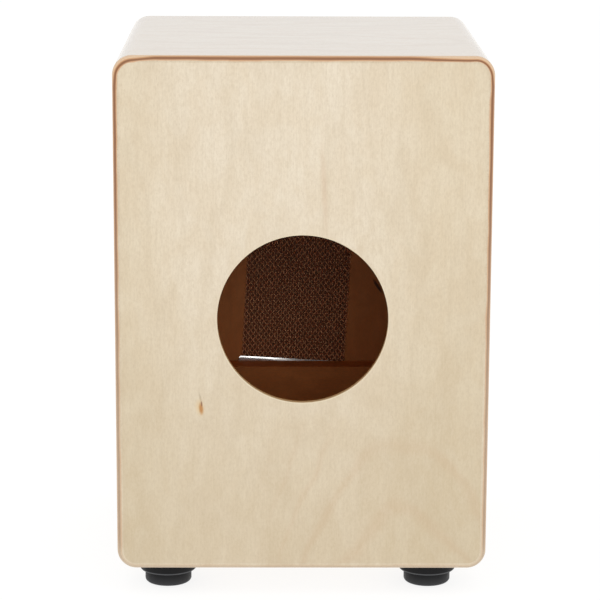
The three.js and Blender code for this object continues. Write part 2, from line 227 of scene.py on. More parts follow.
def skin(rings, closed=False):
    """Vertices and faces of the surface over rings of points.

    Its ends are filled, or joined to each other if closed."""
    count = len(rings[0])
    vertices = [point for ring in rings for point in ring]
    faces = []
    spans = len(rings) if closed else len(rings) - 1
    for i in range(spans):
        a = i * count
        b = (i + 1) % len(rings) * count
        for j in range(count):
            k = (j + 1) % count
            faces.append((a + j, a + k, b + k, b + j))
    if not closed:
        faces.append(tuple(range(count)))
        faces.append(tuple(range(len(vertices) - count, len(vertices))))
    return vertices, faces


def turned(profile, steps, closed=False):
    """Vertices and faces of a solid of revolution about Z, from (radius, height) points.

    The profile closes on itself, or it starts and ends near the axis."""
    rings = []
    for radius, height in profile:
        angles = [2 * math.pi * j / steps for j in range(steps)]
        rings.append([(radius * math.cos(a), radius * math.sin(a), height) for a in angles])
    return skin(rings, closed)


def arc(centre, radius, start, end, steps):
    """Points of an arc in the plane, with both ends."""
    angles = [start + (end - start) * i / steps for i in range(steps + 1)]
    return [(centre[0] + radius * math.cos(a), centre[1] + radius * math.sin(a)) for a in angles]


def rounded_rectangle(width, height, radius, corner_steps, side_steps, inset=0.0):
    """A rounded rectangle's outline about the origin, pulled in by inset.

    It has the same number of points at every inset."""
    x, y = width / 2 - radius, height / 2 - radius
    points = []
    for i, centre in enumerate(((x, y), (-x, y), (-x, -y), (x, -y))):
        start = i * QUARTER
        corner = arc(centre, radius - inset, start, start + QUARTER, corner_steps)
        if points:
            points += between(points[-1], corner[0], side_steps)
        points += corner
    return points + between(points[-1], points[0], side_steps)


def between(a, b, steps):
    """The points that divide a straight line, without its ends."""
    return [tuple(p + (q - p) * i / steps for p, q in zip(a, b)) for i in range(1, steps)]


def easing(radius, steps):
    """(inset, drop) pairs of a quarter round, from the side of a board to its face."""
    angles = [QUARTER * i / steps for i in range(steps + 1)]
    return [(radius * (1 - math.cos(a)), radius * (1 - math.sin(a))) for a in angles]


def merged(parts):
    """Several (vertices, faces) as one."""
    vertices, faces = [], []
    for more, their_faces in parts:
        start = len(vertices)
        vertices += more
        faces += [tuple(start + i for i in face) for face in their_faces]
    return vertices, faces


def moved(part, matrix):
    vertices, faces = part
    return [matrix @ Vector(v) for v in vertices], faces


def drilled(obj, tools):
    """Cuts the tools, (vertices, faces) of closed solids that don't touch each other, out of obj."""
    cutter = new_object("cutter", *merged(tools))
    modifier = obj.modifiers.new("holes", "BOOLEAN")
    modifier.object = cutter
    modifier.solver = "EXACT"
    depsgraph = bpy.context.evaluated_depsgraph_get()
    cut = bpy.data.meshes.new_from_object(obj.evaluated_get(depsgraph))
    obj.modifiers.clear()
    obj.data = cut
    bpy.data.objects.remove(cutter)


def dressed(obj, node, slot, *materials):
    """Gives obj its materials and shading, and lets it stand for a CAD node."""
    obj.data.materials.clear()
    for material in materials:
        obj.data.materials.append(material)
    obj.data.shade_smooth()
    obj.data.set_sharp_from_angle(angle=SHARP_ANGLE)
    weighted = obj.modifiers.new("even_faces", "WEIGHTED_NORMAL")
    weighted.keep_sharp = True
    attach(obj, BODY)
    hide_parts(node)


def paint_faces(obj, index, test):
    """Gives the faces whose centre and normal pass the test the material of that index."""
    for face in obj.data.polygons:
        if test(face.center, face.normal):
            face.material_index = index


# ---------- materials ----------


def tone(code):
    """A linear colour from a hexadecimal sRGB one."""
    parts = [int(code[i : i + 2], 16) / 255 for i in (0, 2, 4)]
    return tuple(p / 12.92 if p <= 0.04045 else ((p + 0.055) / 1.055) ** 2.4 for p in parts) + (1,)


class Material:
    """One material's node tree, with a short call for each kind of node used here."""

    def __init__(self, name):
        self.made = bpy.data.materials.new(name)
        self.made.use_nodes = True
        self.tree = self.made.node_tree
        self.shader = self.tree.nodes["Principled BSDF"]
        self.where = self.tree.nodes.new("ShaderNodeTexCoord").outputs["Object"]

    def set(self, name, value):
        socket = self.shader.inputs[name]
        if isinstance(value, bpy.types.NodeSocket):
            self.tree.links.new(value, socket)
        else:
            socket.default_value = value

    def node(self, kind, inputs, **settings):
        made = self.tree.nodes.new("ShaderNode" + kind)
        for name, value in settings.items():
            setattr(made, name, value)
        for key, value in inputs.items():
            if isinstance(value, bpy.types.NodeSocket):
                self.tree.links.new(value, made.inputs[key])
            else:
                made.inputs[key].default_value = value
        return made

    def stretched(self, scale, shift=(0, 0, 0), turn=0.0):
        """Places in metres, turned about Y, moved by shift, then divided by the size along each axis."""
        inputs = {"Vector": self.where, "Location": shift, "Rotation": (0, turn, 0)}
        places = self.node("Mapping", inputs).outputs[0]
        shares = tuple(1 / s for s in scale)
        return self.node("VectorMath", {0: places, 1: shares}, operation="MULTIPLY").outputs[0]

    def noise(self, size, detail=2.0, roughness=0.5, distortion=0.0, shift=(0, 0, 0)):
        """Noise from 0 to 1 with features of about that size along X, Y and Z."""
        inputs = {
            "Vector": self.stretched(size, shift),
            "Scale": 1.0,
            "Detail": detail,
            "Roughness": roughness,
            "Distortion": distortion,
        }
        return self.node("TexNoise", inputs).outputs["Fac"]

    def math(self, operation, a, b=0.0):
        return self.node("Math", {0: a, 1: b}, operation=operation).outputs[0]

    def product(self, a, b):
        return self.math("MULTIPLY", a, b)

    def total(self, a, b):
        return self.math("ADD", a, b)

    def off(self, value, middle):
        """How far a value is from a middle one, either way."""
        return self.math("ABSOLUTE", self.math("SUBTRACT", value, middle))

    def range(self, value, low, high, to_low=0.0, to_high=1.0):
        """Value from low..high to to_low..to_high, smoothly, and held there outside."""
        inputs = {
            "Value": value,
            "From Min": low,
            "From Max": high,
            "To Min": to_low,
            "To Max": to_high,
        }
        return self.node("MapRange", inputs, interpolation_type="SMOOTHSTEP").outputs[0]

    def mix(self, factor, a, b):
        return self.node("Mix", {0: factor, 6: a, 7: b}, data_type="RGBA").outputs[2]

    def axis(self, vector, name):
        return self.node("SeparateXYZ", {0: vector}).outputs[name]

    def about(self, centre, sizes, turn):
        """Places as seen from a centre, turned about Y and divided by sizes."""
        shift = Matrix.Rotation(turn, 4, "Y") @ -Vector(centre)
        return self.stretched(sizes, tuple(shift), turn)

    def distance(self, centre, radii, turn=0.0):
        """1 at the surface of an ellipsoid about a centre, 0 at the centre."""
        places = self.about(centre, radii, turn)
        return self.node("VectorMath", {0: places}, operation="LENGTH").outputs["Value"]

    def slab(self, centre, half_sizes, turn=0.0):
        """1 at the sides of an upright rectangle about a centre, 0 at the centre."""
        places = self.about(centre, half_sizes, turn)
        either_way = self.node("VectorMath", {0: places}, operation="ABSOLUTE").outputs[0]
        return self.math("MAXIMUM", self.axis(either_way, "X"), self.axis(either_way, "Z"))

    def mark(self, which, y):
        """1 at the edge of one of the marks in the wood, on a face at that y, and 0 at its middle."""
        (x, z), (half_width, half_height), lean = which
        return self.distance((x, y, z), (half_width, MARK_DEPTH, half_height), lean)

    def tinted(self, share, colour, code):
        """A colour mixed towards the one that a hexadecimal code gives."""
        return self.mix(share, colour, tone(code))

    def bump(self, height, strength, distance):
        inputs = {"Height": height, "Strength": strength, "Distance": distance}
        self.set("Normal", self.node("Bump", inputs).outputs[0])


GRAIN_AXES = {"X": (1, 0, 0), "Y": (0, 1, 0), "Z": (0, 0, 1)}


def along(axis, across, length):
    """Feature sizes: across, but length along the grain."""
    return tuple(length if on else across for on in GRAIN_AXES[axis])


def wood_colour(m, axis, tones, contrast=1.0, shift=(0, 0, 0), clouds=0.85, figured=0.1):
    """Colour and height of fine-grained wood whose grain runs along an axis.

    Its tones are light, dark and warm. Clouds and figured set how much of each it has."""
    light, dark, warm = tones
    fibres = m.noise(along(axis, *FIBRES), 3, 0.6, shift=shift)
    streaks = m.noise(along(axis, *STREAKS), 2, 0.5, shift=shift)
    mottle = m.noise(along(axis, *MOTTLE), 3, 0.6, 0.5, shift=shift)
    pores = m.noise(along(axis, *PORES), 1, 0.4, shift=shift)
    flecks = m.noise(along(axis, *FLECKS), 3, 0.7, shift=shift)
    figure = m.noise(along(axis, *FIGURE), 2, 0.45, 0.3, shift=shift)
    bands = m.math("PINGPONG", m.product(figure, FIGURE_BANDS), 1.0)
    deep_pores = m.range(pores, 0.66, 0.8)
    colour = m.mix(m.product(m.range(mottle, 0.3, 0.7), clouds * contrast), light, warm)
    layers = (
        (m.range(bands, 0.5, 1.0), figured),
        (m.range(streaks, 0.4, 0.75), 0.8 * figured),
        (m.range(fibres, 0.35, 0.75), 0.16),
        (m.range(flecks, 0.35, 0.7), 0.27),
        (deep_pores, 0.3),
    )
    for layer, share in layers:
        colour = m.mix(m.product(layer, share * contrast), colour, dark)
    height = m.math("SUBTRACT", fibres, m.product(deep_pores, 0.8))
    return colour, height


def lacquer(m, height, roughness=0.4, coat=1.0, coat_roughness=0.2):
    m.set("Roughness", m.range(height, 0.2, 0.8, roughness + 0.05, roughness - 0.05))
    m.set("Coat Weight", coat)
    m.set("Coat Roughness", coat_roughness)
    m.bump(height, 0.05, 0.1 * MM)


def bare(m, height, rough, smooth, bump, depth):
    """Unlacquered wood, rough in its hollows and smoother on its fibres."""
    m.set("Roughness", m.range(height, 0.2, 0.8, rough, smooth))
    m.bump(height, bump, depth)


def veneer_rear():
    """The pale birch face round the sound hole, with the few marks that its veneer has.

    Darker and yellower towards the bottom, partly painted shade and partly the wood's own tone,
    and paler down its middle, where a sheen is painted.
    """
    m = Material("birch_rear_face")
    # darker and yellower towards the bottom: partly painted shade under the light from above, partly the
    # wood's own tone
    low_shade_and_tone = m.range(m.axis(m.where, "Z"), UNDERSIDE + BOX_HEIGHT * 0.75, UNDERSIDE)
    # painted sheen: the rear face is paler and a little cooler in an upright band down its middle
    off_sheen = m.off(m.axis(m.where, "X"), SHEEN_BAND_X)
    in_sheen = m.range(off_sheen, SHEEN_BAND_REACH, SHEEN_BAND_CORE)
    light_side = m.mix(low_shade_and_tone, tone("DDCDB1"), tone("CFBE9F"))
    light_sheen = m.mix(low_shade_and_tone, tone("E4D6BF"), tone("D4C3A6"))
    warm_side = m.mix(low_shade_and_tone, tone("D6C3A4"), tone("C9B592"))
    warm_sheen = m.mix(low_shade_and_tone, tone("DECDB2"), tone("CDBA9A"))
    light = m.mix(in_sheen, light_side, light_sheen)
    warm = m.mix(in_sheen, warm_side, warm_sheen)
    colour, height = wood_colour(m, "Z", (light, tone("B49D7A"), warm), 0.9)
    colour = m.tinted(m.product(arches(m), 0.16), colour, "BC9468")
    colour = m.tinted(m.range(m.mark(STREAK, BACK), 1.0, 0.1, 0.0, 0.22), colour, "C49C7A")
    colour = m.tinted(m.range(m.mark(KNOT_TAIL, BACK), 1.0, 0.2, 0.0, 0.45), colour, "9A8262")
    colour = m.tinted(m.range(m.mark(KNOT_WARMTH, BACK), 1.0, 0.2, 0.0, 0.45), colour, "DCB878")
    colour = m.tinted(m.range(m.mark(KNOT, BACK), 1.1, 0.3, 0.0, 0.95), colour, "B4782A")
    colour = m.tinted(m.range(m.mark(KNOT_PITH, BACK), 1.1, 0.4, 0.0, 0.8), colour, "75441F")
    m.set("Base Color", colour)
    lacquer(m, height)
    return m.made


def arches(m):
    """The nested arches of a flat-cut log, from 0 to 1, rising to a peak low on the rear face."""
    peak_x, peak_z = ARCH_PEAK
    places = m.stretched((1, 1, 1), (-peak_x, 0, -peak_z))
    across, up = m.axis(places, "X"), m.axis(places, "Z")
    bend = m.product(m.product(across, across), ARCH_BEND)
    wander = m.noise((60 * MM, 60 * MM, 60 * MM), 2, 0.5)
    level = m.total(m.total(up, bend), m.product(wander, ARCH_WANDER))
    bands = m.math("PINGPONG", m.math("DIVIDE", level, ARCH_SPACING), 1.0)
    lower = m.range(up, 30 * MM, -20 * MM)
    near = m.range(m.off(across, 0.0), 130 * MM, 70 * MM)
    return m.product(m.range(bands, 0.6, 1.0), m.product(lower, near))


def behind_face(m):
    """The depth below the rear board's outer face."""
    return m.axis(m.stretched((1, -1, 1), (0, -BACK, 0)), "Y")


def ply_edge():
    """The rounded edge of the rear board, where its plies come out: pale, dark, then light orange.

    The dark ply is strongest along the top, closest to the face at the top corners and faintest
    at the bottom."""
    m = Material("birch_ply_edge")
    face, height = wood_colour(m, "Z", (tone("DBCCB2"), tone("B49D7A"), tone("D0BDA0")), 0.9)
    up = m.axis(m.where, "Z")
    top = UNDERSIDE + BOX_HEIGHT
    corner = BOX_WIDTH / 2 - CORNER_PLY_INSET
    left = m.distance((corner, BACK, top), LEFT_CORNER_PLY)
    right = m.distance((-corner, BACK, top), RIGHT_CORNER_PLY)
    at_corner = m.range(m.math("MINIMUM", left, right), 1.0, 0.25)
    wander = m.noise((30 * MM, 1, 30 * MM), 2, 0.5)
    depth = m.total(behind_face(m), m.product(m.math("SUBTRACT", wander, 0.5), 0.7 * MM))
    depth = m.product(depth, m.total(m.product(at_corner, 1.8), 1.0))
    off_bottom = m.range(up, UNDERSIDE + 4 * MM, UNDERSIDE + 30 * MM, 0.0, 0.4)
    low, high = UNDERSIDE + BOX_HEIGHT * 0.2, UNDERSIDE + BOX_HEIGHT * 0.9
    # the plies fade towards the bottom of the board
    strength = m.total(off_bottom, m.range(up, low, high, 0.0, 0.6))
    plies = (
        (0.1 * MM, 0.35 * MM, "CFA178"),
        (0.35 * MM, 0.75 * MM, "8A572B"),
        (1.7 * MM, 2.4 * MM, "C48F60"),
        (2.8 * MM, 4.0 * MM, "DDBB97"),
    )
    colour = face
    for start, end, code in plies:
        colour = m.tinted(m.range(depth, start, end), colour, code)
    colour = m.mix(strength, m.mix(0.25, face, colour), colour)
    flecks = m.noise((0.8 * MM, 0.5 * MM, 0.8 * MM), 2, 0.6)
    colour = m.tinted(m.product(m.range(flecks, 0.45, 0.8, 0.0, 0.3), strength), colour, "7A4C28")
    m.set("Base Color", colour)
    lacquer(m, height, 0.5, 0.5, 0.4)
    return m.made


def hole_ply():
    """The bore of the sound hole: the face veneer over its eased rim, then sanded plies in turn."""
    m = Material("birch_hole_bore")
    depth = behind_face(m)
    layers = m.math("PINGPONG", m.math("DIVIDE", depth, PLY_THICKNESS), 1.0)
    flecks = m.noise((0.7 * MM, 0.4 * MM, 0.7 * MM), 3, 0.6)
    colour = m.tinted(m.range(layers, 0.35, 0.65), tone("DDB682"), "BE8F5A")
    colour = m.tinted(m.range(flecks, 0.45, 0.8, 0.0, 0.4), colour, "9A6B3E")
    colour = m.mix(m.range(depth, 0.5 * MM, 0.9 * MM), tone("E2D3B6"), colour)
    m.set("Base Color", colour)
    bare(m, flecks, 0.7, 0.5, 0.25, 0.2 * MM)
    return m.made


def veneer_shell(name, axis, shift):
    m = Material(name)
    tones = tone("DBCBB4"), tone("B89C7E"), tone("D6BEA4")
    colour, height = wood_colour(m, axis, tones, 1.1, shift, clouds=0.55, figured=0.17)
    m.set("Base Color", colour)
    lacquer(m, height, 0.36, 1.0, 0.14)
    return m.made


def raw_inside():
    """The unfinished inner faces of the box."""
    m = Material("birch_inside")
    colour, height = wood_colour(m, "Y", (tone("C88F58"), tone("8A5528"), tone("B87A42")))
    m.set("Base Color", colour)
    m.set("Specular IOR Level", 0.3)
    bare(m, height, 0.8, 0.65, 0.2, 0.15 * MM)
    return m.made


def plate_outside():
    m = Material("plate_front_face")
    tones = tone("D39A66"), tone("9A5E33"), tone("C98A56")
    colour, height = wood_colour(m, "Z", tones, 1.1, (0.3, 0, 0.2), clouds=0.55, figured=0.3)
    m.set("Base Color", colour)
    lacquer(m, height, 0.35, 1.0, 0.15)
    return m.made


def plate_inside():
    """The back of the playing plate: brown, unlacquered, darker behind the snare where the wires' shadow
    is painted, with one dark mark.
    """
    m = Material("plate_inner_face")
    tones = tone("EA9550"), tone("A65A28"), tone("D8823F")
    colour, height = wood_colour(m, "Z", tones, 0.6, (0.1, 0, 0.4))
    middle = snare_place() @ Vector((0, 0, WIRE_LENGTH / 2 - WIRE_OVERLAP))
    # painted shadow of the wires: the plate is darker behind the snare
    wire_shadow = m.slab(middle, (PAIR_COUNT * WIRE_SPACING, 1, WIRE_LENGTH / 2), -SNARE_TILT)
    colour = m.tinted(m.range(wire_shadow, 1.01, 0.97, 0.0, 0.82), colour, "66270A")
    colour = m.tinted(m.range(m.mark(PLATE_MARK, PLATE_INNER), 1.1, 0.4, 0.0, 0.85), colour, "3A1404")
    m.set("Base Color", colour)
    bare(m, height, 0.7, 0.55, 0.2, 0.15 * MM)
    return m.made


def strip_wood(name, axis, shift):
    """The battens and the crossbar."""
    m = Material(name)
    tones = tone("EA9048"), tone("A25A28"), tone("D67E3A")
    colour, height = wood_colour(m, axis, tones, 0.8, shift)
    m.set("Base Color", colour)
    bare(m, height, 0.75, 0.6, 0.25, 0.2 * MM)
    return m.made


def rubber():
    """Near-black rubber, with painted floor light on the foot's lower part and a painted highlight along
    the edge of its flange.
    """
    m = Material("foot_rubber")
    fine = m.noise((0.35 * MM, 0.35 * MM, 0.35 * MM), 3, 0.6)
    cloudy = m.noise((7 * MM, 7 * MM, 4 * MM), 2, 0.5)
    lines = m.noise((40 * MM, 40 * MM, 0.6 * MM), 1, 0.5)
    up = m.axis(m.where, "Z")
    shelf = FOOT_HEIGHT - FLANGE_HEIGHT
    edge = FOOT_EDGE * 0.6
    # painted highlight along the rounded lower edge of the flange
    line = m.range(m.off(up, shelf + edge), edge, 0.2 * MM)
    # painted light from the floor: the boss grows paler towards its bottom
    boss_floor_light = m.product(m.range(up, shelf, 0.0, 0.0, 0.5), m.math("LESS_THAN", up, shelf))
    colour = m.tinted(m.range(cloudy, 0.3, 0.7), tone("0A0A0C"), "121214")
    colour = m.tinted(boss_floor_light, colour, "4A4B4D")
    colour = m.tinted(m.product(line, 0.55), colour, "66686B")
    colour = m.tinted(m.range(fine, 0.6, 0.8, 0.0, 0.5), colour, "343538")
    m.set("Base Color", colour)
    m.set("Roughness", m.range(cloudy, 0.3, 0.7, 0.42, 0.55))
    m.set("Specular IOR Level", 0.2)
    m.bump(m.total(fine, m.product(lines, 0.6)), 0.35, 0.15 * MM)
    return m.made


def steel(name, colour, tarnish, roughness, axis, metallic=1.0, dulling=None):
    """Drawn or rolled metal with fine lines along an axis.

    Dulling gives two places along X and the roughness added at each."""
    m = Material(name)
    lines = m.noise(along(axis, 0.12 * MM, 14 * MM), 2, 0.5)
    cloudy = m.noise((5 * MM, 5 * MM, 5 * MM), 2, 0.6)
    worn = m.range(m.axis(m.where, "X"), *dulling) if dulling else 0.0
    grain = m.range(lines, 0.3, 0.7, roughness - 0.05, roughness + 0.08)
    m.set("Base Color", m.tinted(m.range(cloudy, 0.4, 0.75, 0.0, 0.5), tone(colour), tarnish))
    m.set("Metallic", metallic)
    m.set("Roughness", m.total(grain, worn))
    m.bump(lines, 0.12, 0.03 * MM)
    return m.made


def floor_paint():
    m = Material("studio_floor")
    soft = m.noise((0.5, 0.5, 0.5), 2, 0.5)
    m.set("Base Color", m.tinted(soft, tone("747473"), "787877"))
    m.set("Roughness", 0.9)
    m.set("Specular IOR Level", 0.0)
    m.set("Emission Color", (1, 1, 1, 1))
    m.set("Emission Strength", FLOOR_GLOW)
    return m.made


# ---------- the rear board ----------


def outline_at(inset, y):
    points = rounded_rectangle(BOX_WIDTH, BOX_HEIGHT, CORNER_RADIUS, CORNER_STEPS, SIDE_STEPS, inset)
    return [(x, y, MIDDLE + z) for x, z in points]


def hole_at(radius, y):
    """A circle about the sound hole, with a point towards each point of the board's outline."""
    centre = UNDERSIDE + HOLE_HEIGHT
    ring = []
    for x, _, z in outline_at(BACK_EDGE_RADIUS, y):
        away = Vector((x, z - centre)).normalized() * radius
        ring.append((away.x, y, centre + away.y))
    return ring


def blended(a, b, share):
    return [Vector(p).lerp(Vector(q), share) for p, q in zip(a, b)]


def make_rear_board(face, edge, bore, inside):
    rim = HOLE_RADIUS + HOLE_EASING
    round_edge = easing(BACK_EDGE_RADIUS, EDGE_STEPS)
    round_rim = easing(HOLE_EASING, EASING_STEPS)
    rings = [outline_at(0, PANEL_INNER)]
    rings += [outline_at(inset, BACK - drop) for inset, drop in round_edge]
    outer, inner = rings[-1], hole_at(rim, BACK)
    shares = [(i / FACE_RINGS) ** FACE_RING_CROWDING for i in range(1, FACE_RINGS)]
    rings += [blended(outer, inner, share) for share in shares]
    rings += [hole_at(HOLE_RADIUS + inset, BACK - drop) for inset, drop in reversed(round_rim)]
    rings += [hole_at(HOLE_RADIUS + inset, PANEL_INNER + drop) for inset, drop in round_rim]
    outer, inner = hole_at(rim, PANEL_INNER), rings[0]
    rings += [blended(outer, inner, i / FACE_RINGS) for i in range(1, FACE_RINGS)]
    board = new_object("rear_board", *skin(rings, closed=True))
    dressed(board, "back_panel", "birch_face", face, edge, bore, inside)

    def beyond_hole(place):
        return math.hypot(place.x, place.z - UNDERSIDE - HOLE_HEIGHT) > rim

    flat = math.cos(FLAT_ANGLE)
    paint_faces(board, 1, lambda place, normal: beyond_hole(place) and abs(normal.y) < flat)
    paint_faces(board, 2, lambda place, normal: not beyond_hole(place))
    paint_faces(board, 3, lambda place, normal: beyond_hole(place) and normal.y < -flat)


# ---------- the shell ----------


def wall_section(half):
    """Points (along, out) of a wall's section: mitred ends, each with its half of the rounded corner."""
    step = MITRE_GAP / math.sqrt(2)
    end = half - WALL - step
    centre = half - CORNER_RADIUS
    start = QUARTER / 2 + math.asin(step / (CORNER_RADIUS * math.sqrt(2)))
    right = arc((centre, -CORNER_RADIUS), CORNER_RADIUS, start, QUARTER, CORNER_STEPS)
    left = [(-x, y) for x, y in reversed(right)]
    return [(-end, -WALL), (end, -WALL)] + right + left


def make_wall(node, name, half, turn, out, outside, inside):
    """A wall of the box: turned about Y from lying on top, with its outer face out from the middle."""
    place = Matrix.Translation((0, 0, MIDDLE)) @ Matrix.Rotation(turn, 4, "Y")
    rings = [
        [place @ Vector((x, y, out + z)) for x, z in wall_section(half)]
        for y in (PLATE_INNER, PANEL_INNER)
    ]
    wall = new_object(name, *skin(rings))
    outward = (place.to_3x3() @ Vector((0, 0, 1))).normalized()
    if node == "bottom_panel":
        drilled(wall, [foot_pilot(side) for side in FOOT_SIDES])
    dressed(wall, node, "birch_shell", outside, inside)
    paint_faces(wall, 1, lambda place, normal: normal.dot(outward) < -0.5)


def foot_pilot(side):
    low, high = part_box("foot_screw_" + side)
    middle = (low + high) / 2
    radius = FOOT_SHANK_RADIUS + DRILL_GAP
    start = UNDERSIDE - THROUGH
    hole = turned(capped([(radius, 0), (radius, high.z + DRILL_GAP - start)]), SCREW_STEPS)
    return moved(hole, Matrix.Translation((middle.x, middle.y, start)))


def make_shell(inside):
    half_width, half_height = BOX_WIDTH / 2, BOX_HEIGHT / 2
    level = veneer_shell("birch_shell_level", "X", (0, 0, 0))
    upright = veneer_shell("birch_shell_upright", "Z", (0.2, 0.1, 0))
    make_wall("top_panel", "top_board", half_width, 0, half_height, level, inside)
    make_wall("bottom_panel", "bottom_board", half_width, math.pi, half_height, level, inside)
    make_wall("right_side_panel", "right_board", half_height, QUARTER, half_width, upright, inside)
    make_wall("left_side_panel", "left_board", half_height, -QUARTER, half_width, upright, inside)


# ---------- screws ----------


def capped(profile):
    """A profile with a point near the axis at each end, so that its end faces are flat fans."""
    return [(HUB_RADIUS, profile[0][1])] + profile + [(HUB_RADIUS, profile[-1][1])]


def recess(top):
    """A tapered cross, to be cut down into a screw head whose top is at that height."""
    long, short = RECESS_SPAN / 2, RECESS_SLOT / 2
    cross = []
    for x, y in ((1, 1), (-1, 1), (-1, -1), (1, -1)):
        arm = [(long * x, short * y), (short * x, short * y), (short * x, long * y)]
        cross += arm if x == y else reversed(arm)
    rings = [
        [(x * share, y * share, top + z) for x, y in cross]
        for z, share in ((-RECESS_DEPTH, RECESS_TAPER), (0, 1), (RECESS_DEPTH, 1))
    ]
    return skin(rings)


def make_screw(name, profile, top, place):
    """A screw that points down from z = top, at a place given by a matrix."""
    screw = new_object(name, *turned(capped(profile), SCREW_STEPS))
    drilled(screw, [recess(top)])
    screw.matrix_world = place
    return screw


def countersunk(slack):
    return [
        (SCREW_SHANK_RADIUS * SCREW_TIP, -SCREW_LENGTH - slack),
        (SCREW_SHANK_RADIUS + slack, SCREW_POINT - SCREW_LENGTH - slack),
        (SCREW_SHANK_RADIUS + slack, -SCREW_HEAD_DEPTH - slack),
        (SCREW_HEAD_RADIUS + slack, -SCREW_RIM - slack),
        (SCREW_HEAD_RADIUS + slack, slack),
    ]


def pan_head(shank, head, height, length):
    """A pan-head screw's profile. The head's underside is at z = 0."""
    round_radius = height * PAN_CROWN
    crown = arc((head - round_radius, height - round_radius), round_radius, 0, QUARTER, EASING_STEPS)
    return [(shank * SCREW_TIP, -length), (shank, SCREW_POINT - length), (shank, 0), (head, 0)] + crown


def plate_screw_nodes():
    return sorted(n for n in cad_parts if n.startswith("plate_screw_"))


def plate_screw_place(node):
    low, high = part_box(node)
    middle = (low + high) / 2
    return Matrix.Translation((middle.x, FRONT, middle.z)) @ Matrix.Rotation(QUARTER, 4, "X")


def plate_screw_holes():
    hole = turned(capped(countersunk(DRILL_GAP)), SCREW_STEPS)
    return [moved(hole, plate_screw_place(node)) for node in plate_screw_nodes()]


def make_plate_screws(metal):
    for node in plate_screw_nodes():
        name = node.replace("plate_screw", "front_screw")
        screw = make_screw(name, countersunk(0), 0, plate_screw_place(node))
        dressed(screw, node, "zinc_steel", metal)


# ---------- the playing plate and its battens ----------


def make_plate(outside, inside):
    rings = [outline_at(0, PLATE_INNER)]
    rings += [outline_at(inset, FRONT + drop) for inset, drop in easing(PLATE_EDGE_RADIUS, EDGE_STEPS)]
    plate = new_object("playing_plate", *skin(rings))
    drilled(plate, plate_screw_holes())
    dressed(plate, "front_plate", "plate_wood", outside, inside)
    paint_faces(plate, 1, lambda place, normal: normal.y > 0.9)


def eased_block(name, low, high, radius):
    """A block between two corners with rounded edges."""
    size, middle = high - low, (low + high) / 2
    place = Matrix.Translation(middle) @ Matrix.Diagonal((*size, 1))
    made = bmesh.new()
    bmesh.ops.create_cube(made, size=1.0)
    bmesh.ops.transform(made, matrix=place, verts=made.verts)
    bmesh.ops.bevel(
        made,
        geom=made.edges[:],
        offset=radius,
        segments=EASING_STEPS,
        affect="EDGES",
        profile=0.5,
    )
    mesh = bpy.data.meshes.new(name)
    made.to_mesh(mesh)
    made.free()
    block = bpy.data.objects.new(name, mesh)
    bpy.context.scene.collection.objects.link(block)
    return block


def make_battens():
    upright = strip_wood("batten_upright", "Z", (0.4, 0, 0))
    level = strip_wood("batten_level", "X", (0, 0.2, 0.3))
    for side, wood in (("left", upright), ("right", upright), ("top", level), ("bottom", level)):
        node = "front_batten_" + side
        low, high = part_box(node)
        batten = eased_block("glue_batten_" + side, low, high, STRIP_EASING)
        drilled(batten, plate_screw_holes())
        dressed(batten, node, "batten_wood", wood)


# ---------- the snare ----------


def snare_place():
    """The frame at the top middle of the end plate's front: X across the wires, Z up along them."""
    origin = (SNARE_X, END_PLATE_FRONT, UNDERSIDE + SNARE_HEIGHT)
    return Matrix.Translation(origin) @ Matrix.Rotation(SNARE_TILT, 4, "Y")


def snare_screw_offsets():
    middle = (SNARE_SCREW_COUNT - 1) / 2
    return [(i - middle) * SNARE_SCREW_SPACING for i in range(SNARE_SCREW_COUNT)]


def snare_screw_place(x):
    facing = Matrix.Rotation(QUARTER, 4, "X")
    return snare_place() @ Matrix.Translation((x, -DRILL_GAP / 2, -SNARE_SCREW_DROP)) @ facing


def snare_pilots(radius):
    """Holes for the snare's screws, from before the end plate to past the screws' points."""
    reach = SNARE_SCREW_LENGTH + THROUGH
    hole = turned(capped([(radius, -reach), (radius, THROUGH)]), SCREW_STEPS)
    return [moved(hole, snare_screw_place(x)) for x in snare_screw_offsets()]


def coil_path(phase):
    """One wire's centreline: a straight end on the end plate, then a coil up to a straight free end."""
    radius = (COIL_DIAMETER - WIRE_DIAMETER) / 2
    low, high = -WIRE_OVERLAP, WIRE_LENGTH - WIRE_OVERLAP
    step = COIL_PITCH / COIL_STEPS
    count = round(WIRE_LENGTH / step)
    points, angle = [], phase
    for i in range(count + 1):
        height = low + (high - low) * i / count
        inside = min(height - low, high - height)
        share = min(1.0, max(0.0, inside / COIL_RAMP - STRAIGHT_END))
        angle += 2 * math.pi * share / COIL_STEPS
        points.append(Vector((radius * math.sin(angle), radius * math.cos(angle), height)))
    return points


def tube(path, radius, sides):
    """Vertices and faces of a round wire along a path."""
    rings = []
    across = Vector((1, 0, 0))
    for i, point in enumerate(path):
        ahead = (path[min(i + 1, len(path) - 1)] - path[max(i - 1, 0)]).normalized()
        across = (across - ahead * across.dot(ahead)).normalized()
        other = ahead.cross(across)
        angles = [2 * math.pi * j / sides for j in range(sides)]
        rings.append([point + radius * (across * math.cos(a) + other * math.sin(a)) for a in angles])
    return skin(rings)


